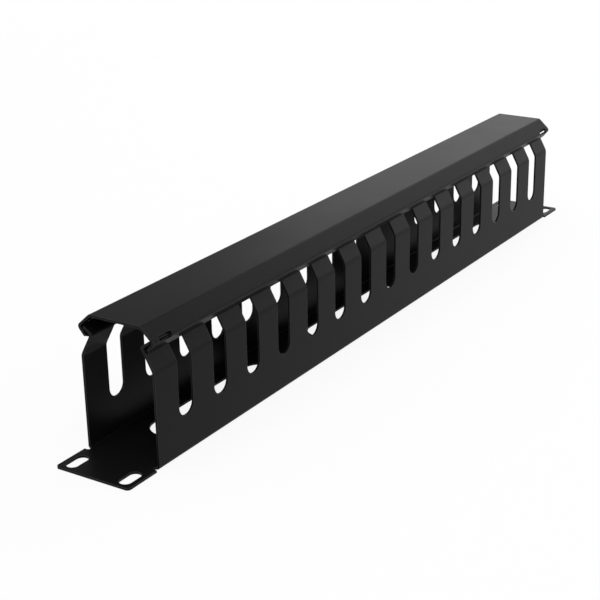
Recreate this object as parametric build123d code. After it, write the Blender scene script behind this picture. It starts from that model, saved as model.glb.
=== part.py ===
from build123d import *
import os
from math import cos, radians, sin

# Horizontal cable manager for a 19 inch rack, in millimetres: a folded channel with two
# rows of hooked fingers, and a folded cover that grips the hooks.
# As it is mounted, X runs across the rack, Y up it and Z out of its front.
# The origin is the middle of the back of the mounting plate.

# Sheet that both pieces are folded from
sheet = 1.2
bend_radius = 0.6

# Rack slots, and the metal left around them in the two ears
rack_slot_pitch = 465.1
rack_slot_spacing = 31.75
rack_slot_length = 13.0
rack_slot_width = 6.5
ear_end_margin = 2.25
ear_side_margin = 2.675
ear_wall_margin = 8.15
ear_corner_radius = 2.0

# Where the ears meet the walls
ear_step = 0.2
relief_width = 2.6
relief_past_bend = 0.6

# Openings in the floor of the channel
middle_opening_length = 93.0
opening_width = 23.2
bridge_length = 44.8
floor_end_margin = 26.9

# Walls and their fingers
finger_pitch = 27.94
finger_gap = 11.2
gap_bottom = 19.4
lean_start = 49.2
lean_rise = 11.0
lean_inset = 6.0
lean_bend_radius = 5.0
hook_length = 6.15
hook_angle = 35.0
hook_corner_length = 2.9
hook_corner_height = 1.4

# Cover: its slopes rest on the tops of the hooks, its lips turn back under their tips, and
# the ends of the lips sit against the fingers
slope_clearance = 0.02
lip_clearance = 0.62
seat_gap = 0.3
slope_angle = 42.0
lip_angle = 50.0
cover_rise = 6.95
cover_bend_radius = 0.9
cover_overhang = 0.6
cover_shift = 0.5
lip_corner_length = 3.7
lip_corner_height = 1.8

# Release slots in the lower bends of the cover, over the end fingers
release_length = 9.5
release_height = 2.8
release_round_bend = 85.0
release_end_margin = 4.4

# Sizes that follow from the rack slots
panel_length = rack_slot_pitch + rack_slot_length + 2 * ear_end_margin
panel_height = rack_slot_spacing + rack_slot_width + 2 * ear_side_margin
ear_length = ear_end_margin + rack_slot_length + ear_wall_margin
channel_length = panel_length - 2 * ear_length
channel_width = panel_height - 2 * ear_step
cover_length = channel_length + 2 * cover_overhang
outer_bend = bend_radius + sheet
cover_outer_bend = cover_bend_radius + sheet
gap_count = round((channel_length + finger_gap) / finger_pitch) - 1


def direction(angle):
    """Unit vector in the end view, with Y to the right and Z up."""
    return Vector(cos(radians(angle)), sin(radians(angle)))


def crossing(point, along, other_point, other_along):
    """Where two lines of the end view meet."""
    share = (other_point - point).cross(other_along).Z / along.cross(other_along).Z
    return point + along * share


def both_sides(half):
    """The right half of an outline, from its free edge to the middle, made whole."""
    left = [Vector(-point.X, point.Y) for point in half]
    return half + left[::-1]


def folded(half_skin, half_radii, inner_side, length):
    """A symmetrical sheet, given by the outer skin of its right half, pushed out along X."""
    skin = FilletPolyline(*both_sides(half_skin), radius=half_radii + half_radii[::-1])
    section = make_face(offset(skin, sheet, side=inner_side))
    return extrude(Plane.YZ * section, length / 2, both=True)


# End view of the right wall, on its outer skin: foot, lean, hook
foot = Vector(channel_width / 2, 0)
lean_foot = Vector(channel_width / 2, lean_start)
hook_foot = lean_foot + Vector(-lean_inset, lean_rise)
hook_inward = direction(hook_angle + 90)
hook_tip = hook_foot + direction(hook_angle) * hook_length
hook_top = hook_tip + hook_inward * sheet

# End view of the right side of the cover, on its outer skin: shoulder, corner, lip
slope = direction(180 - slope_angle)
slope_inward = direction(270 - slope_angle)
slope_skin = hook_top - slope_inward * (slope_clearance + sheet)
lip = direction(180 + lip_angle)
lip_inward = direction(90 + lip_angle)
lip_skin = hook_tip - lip_inward * (lip_clearance + sheet)
corner = crossing(slope_skin, slope, lip_skin, lip)
cover_top = corner.Y + cover_rise
shoulder = crossing(slope_skin, slope, Vector(0, cover_top), Vector(1, 0))
lean = (hook_foot - lean_foot).normalized()
lean_outward = Vector(lean.Y, -lean.X)
lip_stop = lean_foot + lean_outward * seat_gap
lip_end = crossing(lip_skin + lip_inward * sheet, lip, lip_stop, lean) - lip_inward * sheet


def base_channel():
    """Mounting plate, floor and fingered walls, folded from one sheet."""
    radii = [bend_radius, lean_bend_radius + sheet, outer_bend]
    half_skin = [hook_tip, hook_foot, lean_foot, foot]
    body = folded(half_skin, radii, Side.RIGHT, channel_length)
    body += ears()
    body -= relief_notches()
    body -= floor_openings()
    body -= finger_gaps()
    body -= hook_corners()
    return body


def ears():
    """The plate beyond both ends of the walls, with its rack slots."""
    outline = RectangleRounded(panel_length, panel_height, ear_corner_radius)
    outline -= Rectangle(channel_length, panel_height)
    slots = GridLocations(rack_slot_pitch, rack_slot_spacing, 2, 2)
    outline -= slots * SlotOverall(rack_slot_length, rack_slot_width)
    return extrude(outline, sheet)


def relief_notches():
    """Round-bottomed cuts at the ends of the walls, which let them fold clear of the ears."""
    depth = (panel_height - channel_width) / 2 + outer_bend + relief_past_bend
    apart = GridLocations(channel_length + relief_width, panel_height, 2, 2)
    notch = SlotOverall(2 * depth, relief_width, rotation=90)
    return extrude(Sketch() + apart * notch, sheet)


def floor_openings():
    """Three round-ended openings for cables that pass through the panel."""
    first = middle_opening_length / 2 + bridge_length
    last = channel_length / 2 - floor_end_margin
    middle = SlotOverall(middle_opening_length, opening_width)
    outer = SlotOverall(last - first, opening_width)
    centre = (first + last) / 2
    return extrude(middle + Pos(X=centre) * outer + Pos(X=-centre) * outer, sheet)


def finger_gaps():
    """Gaps through both walls, open between the hooks and round at the bottom."""
    height = hook_top.Y - gap_bottom
    round_part = Pos(Y=gap_bottom + finger_gap / 2) * Circle(finger_gap / 2)
    straight = Pos(Y=gap_bottom + finger_gap / 2) * Rectangle(
        finger_gap, height, align=(Align.CENTER, Align.MIN)
    )
    gaps = Sketch() + GridLocations(finger_pitch, 0, gap_count, 1) * (round_part + straight)
    return extrude(Plane.XZ * gaps, channel_width, both=True)


def hook_corners():
    """Cuts that widen each gap, and both ends of the wall, towards the tips of the hooks."""
    on_hook = Plane(
        origin=(0, hook_tip.X, hook_tip.Y),
        x_dir=(1, 0, 0),
        z_dir=(0, hook_inward.X, hook_inward.Y),
    )
    narrow = finger_gap / 2
    wide = narrow + 2 * hook_corner_length
    mouth = Polygon(
        (-narrow, -hook_corner_height),
        (narrow, -hook_corner_height),
        (wide, hook_corner_height),
        (-wide, hook_corner_height),
        align=None,
    )
    mouths = Sketch() + GridLocations(finger_pitch, 0, gap_count + 2, 1) * mouth
    row = extrude(on_hook * mouths, 2 * sheet, both=True)
    return row + mirror(row, Plane.XZ)


def cover():
    """The cover, folded from one sheet."""
    half_skin = [lip_end, corner, shoulder]
    body = folded(half_skin, [cover_outer_bend, cover_outer_bend], Side.LEFT, cover_length)
    body -= at_four_ends(release_slot())
    body -= at_four_ends(lip_corner())
    return Pos(X=cover_shift) * body


def at_four_ends(cut):
    """A cut at the right-hand end of the right side, repeated at both ends of both sides."""
    pair = cut + mirror(cut, Plane.YZ)
    return pair + mirror(pair, Plane.XZ)


def release_slot():
    """A slot from well round the lower bend to part of the way up the slope."""
    beside_slope = corner + slope_inward * cover_outer_bend
    beside_lip = corner + lip_inward * cover_outer_bend
    bend_centre = crossing(beside_slope, slope, beside_lip, lip)
    upper = corner + slope * release_height
    outline = Polygon(
        bend_centre,
        bend_centre + direction(90 - slope_angle - release_round_bend) * 2 * cover_outer_bend,
        upper - slope_inward * sheet,
        upper + slope_inward * cover_outer_bend,
        align=None,
    )
    middle = cover_length / 2 - release_end_margin - release_length / 2
    return Pos(X=middle) * extrude(Plane.YZ * outline, release_length / 2, both=True)


def lip_corner():
    """The corner cut off the end of a lip, made larger outward so that it passes its edges."""
    on_lip = Plane(
        origin=(cover_length / 2, lip_end.X, lip_end.Y),
        x_dir=(1, 0, 0),
        z_dir=(0, lip_inward.X, lip_inward.Y),
    )
    wedge = Polygon(
        (-2 * lip_corner_length, -lip_corner_height),
        (lip_corner_length, -lip_corner_height),
        (lip_corner_length, 2 * lip_corner_height),
        align=None,
    )
    return extrude(on_lip * wedge, 2 * sheet, both=True)


os.makedirs("parts", exist_ok=True)
export_step(base_channel(), "parts/base_channel.step")
export_step(cover(), "parts/cover.step")
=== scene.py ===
from math import cos, radians, sin

import bpy
from mathutils import Matrix, Vector


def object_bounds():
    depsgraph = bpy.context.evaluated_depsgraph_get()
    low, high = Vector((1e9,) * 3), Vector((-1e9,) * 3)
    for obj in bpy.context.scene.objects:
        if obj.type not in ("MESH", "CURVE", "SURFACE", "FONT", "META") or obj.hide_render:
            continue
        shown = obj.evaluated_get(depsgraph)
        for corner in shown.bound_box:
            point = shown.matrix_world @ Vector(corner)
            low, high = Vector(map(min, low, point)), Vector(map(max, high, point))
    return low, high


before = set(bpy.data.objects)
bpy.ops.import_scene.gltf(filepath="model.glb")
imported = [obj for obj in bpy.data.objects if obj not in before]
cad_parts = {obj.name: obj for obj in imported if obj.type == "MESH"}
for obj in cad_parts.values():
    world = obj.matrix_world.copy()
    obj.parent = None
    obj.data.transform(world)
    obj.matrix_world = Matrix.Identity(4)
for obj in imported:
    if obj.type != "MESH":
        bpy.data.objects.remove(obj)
cad_low, cad_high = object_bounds()

# Camera, as the photograph was taken, in metres and degrees, with its lens in millimetres
camera_place = Vector((-0.6769, -0.3998, 0.3126))
camera_azimuth = -56.918
camera_elevation = 21.19
camera_roll = -1.063
camera_lens = 85.88
camera_sensor = 36.0
camera_near = 0.01
camera_far = 100.0

# Powder coat: its two blacks, the grey of the painted highlight along its edges, and its gloss
coat_dark = (0.005, 0.005, 0.0053, 1.0)
coat_light = (0.007, 0.007, 0.0073, 1.0)
edge_highlight_grey = (0.075, 0.075, 0.077, 1.0)
coat_specular = 0.065
coat_roughness = 0.33
cloud_roughness = 0.06
grain_roughness = 0.06

# Unevenness of the coat, from pebbles under a millimetre across to clouds of a few centimetres
grain_scale = 1600.0
grain_detail = 2.0
grain_height = 0.0001
grain_strength = 0.3
cloud_scale = 40.0
cloud_detail = 3.0

# How far the coat rounds the sheet's edges and folds, and how fast the painted highlight rises
# towards them
edge_round = 0.00035
edge_samples = 8
edge_highlight_gain = 5

# Backdrop that gloss reflects: a low white card beyond the right end, and a tall one elsewhere
white = (1.0, 1.0, 1.0, 1.0)
backdrop_strength = 1.0
fill_strength = 0.5
low_card_side = (0.79, 0.61, 0.0)

# Stops of the cards: a height, from 0 at the horizon to 1 overhead, and a grey
low_card = [(0.25, 1.0), (0.35, 0.05)]
tall_card = [(0.35, 1.0), (0.8, 0.3)]

# Stops between them: 0 across the low card's side to 1 along it, and the low card's share
low_card_edge = [(0.0, 0.0), (0.3, 1.0)]

# Floor, which turns as white as the backdrop away from the part
floor_half = 6.0
floor_colour = (0.95, 0.95, 0.95, 1.0)

# Stops of the floor: a distance, as a share of its half width, and the share of that white
floor_whiteness = [(0.05, 0.88), (0.25, 1.0)]

# Middle of the part's foot, and a point a little to its right
middle = (0.0, 0.0, 0.0)
right_of_middle = (0.1, 0.0, 0.0)


class Wire:
    """A shader socket. Sums, differences and products of wires and numbers add Math nodes."""

    def __init__(self, tree, socket=None):
        self.tree = tree
        self.socket = socket

    def node(self, kind, settings=None, inputs=None, output=0):
        """Adds a node, sets it up, fills or links its inputs and gives one of its outputs."""
        made = self.tree.nodes.new(kind)
        for name, value in (settings or {}).items():
            if name == "stops":
                place_stops(made.color_ramp, value)
            else:
                setattr(made, name, value)
        for name, value in (inputs or {}).items():
            if isinstance(value, Wire):
                self.tree.links.new(value.socket, made.inputs[name])
            else:
                made.inputs[name].default_value = value
        return Wire(self.tree, made.outputs[output] if len(made.outputs) else None)

    def maths(self, operation, first, second):
        """A number worked out from two others."""
        return self.node("ShaderNodeMath", {"operation": operation}, {0: first, 1: second})

    def measure(self, operation, first, second):
        """A number worked out from two vectors."""
        settings = {"operation": operation}
        return self.node("ShaderNodeVectorMath", settings, {0: first, 1: second}, "Value")

    def ramp(self, factor, stops):
        """A grey that follows the factor from stop to stop."""
        return self.node("ShaderNodeValToRGB", {"stops": stops}, {"Fac": factor}, "Color")

    def mix(self, factor, first, second):
        """A colour between two others."""
        inputs = {"Factor": factor, "A": first, "B": second}
        return self.node("ShaderNodeMix", {"data_type": "RGBA"}, inputs, "Result")

    def __add__(self, other):
        return self.maths("ADD", self, other)

    def __sub__(self, other):
        return self.maths("SUBTRACT", self, other)

    def __rsub__(self, other):
        return self.maths("SUBTRACT", other, self)

    def __mul__(self, other):
        return self.maths("MULTIPLY", self, other)

    __radd__ = __add__
    __rmul__ = __mul__


def place_stops(ramp, stops):
    """Gives a colour ramp its stops, each a place and a grey."""
    while len(ramp.elements) < len(stops):
        ramp.elements.new(1.0)
    for element, (place, grey) in zip(ramp.elements, stops):
        element.position = place
        element.color = (grey, grey, grey, 1.0)


def bare_nodes(owner):
    """Empties the nodes of a material or a world, and gives a wire to build them with."""
    owner.use_nodes = True
    owner.node_tree.nodes.clear()
    return Wire(owner.node_tree)


def powder_coat():
    """Black powder coat: a fine pebbled skin, faintly uneven in sheen, with a painted highlight
    along the edges.
    """
    material = bpy.data.materials.new("black_powder_coat")
    paint = bare_nodes(material)
    place = paint.node("ShaderNodeTexCoord", output="Object")
    pebbles = {"Vector": place, "Scale": grain_scale, "Detail": grain_detail}
    grain = paint.node("ShaderNodeTexNoise", inputs=pebbles, output="Fac")
    clouds = {"Vector": place, "Scale": cloud_scale, "Detail": cloud_detail}
    cloud = paint.node("ShaderNodeTexNoise", inputs=clouds, output="Fac")
    rounded = paint.node("ShaderNodeBevel", {"samples": edge_samples}, {"Radius": edge_round})
    flat = paint.node("ShaderNodeNewGeometry", output="Normal")
    on_edge = 1 - paint.measure("DOT_PRODUCT", rounded, flat)
    # Painted highlight: along edges and folds the base colour is lifted towards a light grey,
    # standing in for light that the rounded edges catch
    painted_edge_highlight = paint.maths("MINIMUM", edge_highlight_gain * on_edge, 1.0)
    skin = {"Height": grain, "Strength": grain_strength, "Distance": grain_height, "Normal": rounded}
    finish = {
        "Base Color": paint.mix(painted_edge_highlight, paint.mix(cloud, coat_dark, coat_light), edge_highlight_grey),
        "Roughness": coat_roughness + cloud_roughness * cloud + grain_roughness * grain,
        "Specular IOR Level": coat_specular,
        "Normal": paint.node("ShaderNodeBump", inputs=skin),
    }
    coat = paint.node("ShaderNodeBsdfPrincipled", inputs=finish)
    paint.node("ShaderNodeOutputMaterial", inputs={"Surface": coat})
    return material


def seen_directly(wire):
    """1 for rays that show the backdrop as it is: the camera's, off gloss and through glass."""
    camera = wire.node("ShaderNodeLightPath", output="Is Camera Ray")
    glossy = wire.node("ShaderNodeLightPath", output="Is Glossy Ray")
    through = wire.node("ShaderNodeLightPath", output="Is Transmission Ray")
    return wire.maths("MAXIMUM", wire.maths("MAXIMUM", camera, glossy), through)


def studio_world():
    """A backdrop with a white horizon, and an even fill that lights what is matt."""
    world = bpy.data.worlds.new("studio")
    sky = bare_nodes(world)
    direction = sky.node("ShaderNodeTexCoord", output="Generated")
    height = sky.node("ShaderNodeSeparateXYZ", inputs={"Vector": direction}, output="Z")
    towards_low_card = sky.measure("DOT_PRODUCT", direction, low_card_side)
    on_low_card = sky.ramp(towards_low_card, low_card_edge)
    backdrop = sky.mix(on_low_card, sky.ramp(height, tall_card), sky.ramp(height, low_card))
    shown_light = {"Color": backdrop, "Strength": backdrop_strength}
    shown = sky.node("ShaderNodeBackground", inputs=shown_light)
    fill = sky.node("ShaderNodeBackground", inputs={"Color": white, "Strength": fill_strength})
    mixed = sky.node("ShaderNodeMixShader", inputs={0: seen_directly(sky), 1: fill, 2: shown})
    sky.node("ShaderNodeOutputWorld", inputs={"Surface": mixed})
    bpy.context.scene.world = world


def studio_floor():
    """A matt pale floor that keeps the part's shadow and fades into the backdrop."""
    bpy.ops.mesh.primitive_plane_add(size=2 * floor_half, location=(0, 0, cad_low.z))
    floor = bpy.context.object
    floor.name = "floor"
    material = bpy.data.materials.new("pale_floor")
    ground = bare_nodes(material)
    matt = ground.node("ShaderNodeBsdfDiffuse", inputs={"Color": floor_colour})
    glow = ground.node("ShaderNodeEmission", inputs={"Color": white, "Strength": backdrop_strength})
    place = ground.node("ShaderNodeTexCoord", output="Object")
    away = ground.measure("DISTANCE", place, middle)
    whiteness = ground.ramp(away * (1 / floor_half), floor_whiteness)
    glowing = whiteness * seen_directly(ground)
    mixed = ground.node("ShaderNodeMixShader", inputs={0: glowing, 1: matt, 2: glow})
    ground.node("ShaderNodeOutputMaterial", inputs={"Surface": mixed})
    floor.data.materials.append(material)


def soft_light(name, place, target, size, power):
    """A rectangular lamp, in metres and watts, that points at its target."""
    lamp = bpy.data.lights.new(name, "AREA")
    lamp.shape = "RECTANGLE"
    lamp.size, lamp.size_y = size
    lamp.energy = power
    lit = bpy.data.objects.new(name, lamp)
    lit.location = place
    lit.rotation_mode = "QUATERNION"
    lit.rotation_quaternion = (Vector(target) - Vector(place)).to_track_quat("-Z", "Y")
    bpy.context.scene.collection.objects.link(lit)


def studio_lamps():
    """One key lamp and four that brighten the top, the cover's slope and the far right end."""
    soft_light("key", (-0.9, -0.5, 1.5), middle, size=(1.0, 1.0), power=6.5)
    soft_light("overhead", (-0.2, 0.3, 2.0), middle, size=(2.0, 1.4), power=9.0)
    soft_light("slope_fill", (1.4, -0.25, 1.0), middle, size=(1.5, 1.0), power=9.5)
    soft_light("far_glow", (1.95, 0.85, 0.55), right_of_middle, size=(0.9, 0.5), power=2.35)
    soft_light("front_glow", (1.5, -1.1, 0.45), right_of_middle, size=(1.2, 0.4), power=3.7)


def studio_camera():
    """The camera, turned to its azimuth and elevation and then rolled about its own axis."""
    azimuth = radians(camera_azimuth)
    elevation = radians(camera_elevation)
    roll = radians(camera_roll)
    back = Vector((sin(azimuth) * cos(elevation), -cos(azimuth) * cos(elevation), sin(elevation)))
    level = Vector((cos(azimuth), sin(azimuth), 0.0))
    above = back.cross(level)
    side = level * cos(roll) + above * sin(roll)
    up = above * cos(roll) - level * sin(roll)
    turned = Matrix((side, up, back)).transposed().to_4x4()
    lens = bpy.data.cameras.new("camera")
    lens.sensor_width = camera_sensor
    lens.lens = camera_lens
    lens.clip_start = camera_near
    lens.clip_end = camera_far
    camera = bpy.data.objects.new("camera", lens)
    camera.matrix_world = Matrix.Translation(camera_place) @ turned
    bpy.context.scene.collection.objects.link(camera)
    bpy.context.scene.camera = camera


def paint_part():
    """Gives both folded sheets the powder coat."""
    coat = powder_coat()
    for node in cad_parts.values():
        node.data.materials.clear()
        node.data.materials.append(coat)


bpy.context.scene.view_settings.view_transform = "Standard"
paint_part()
studio_world()
studio_floor()
studio_lamps()
studio_camera()
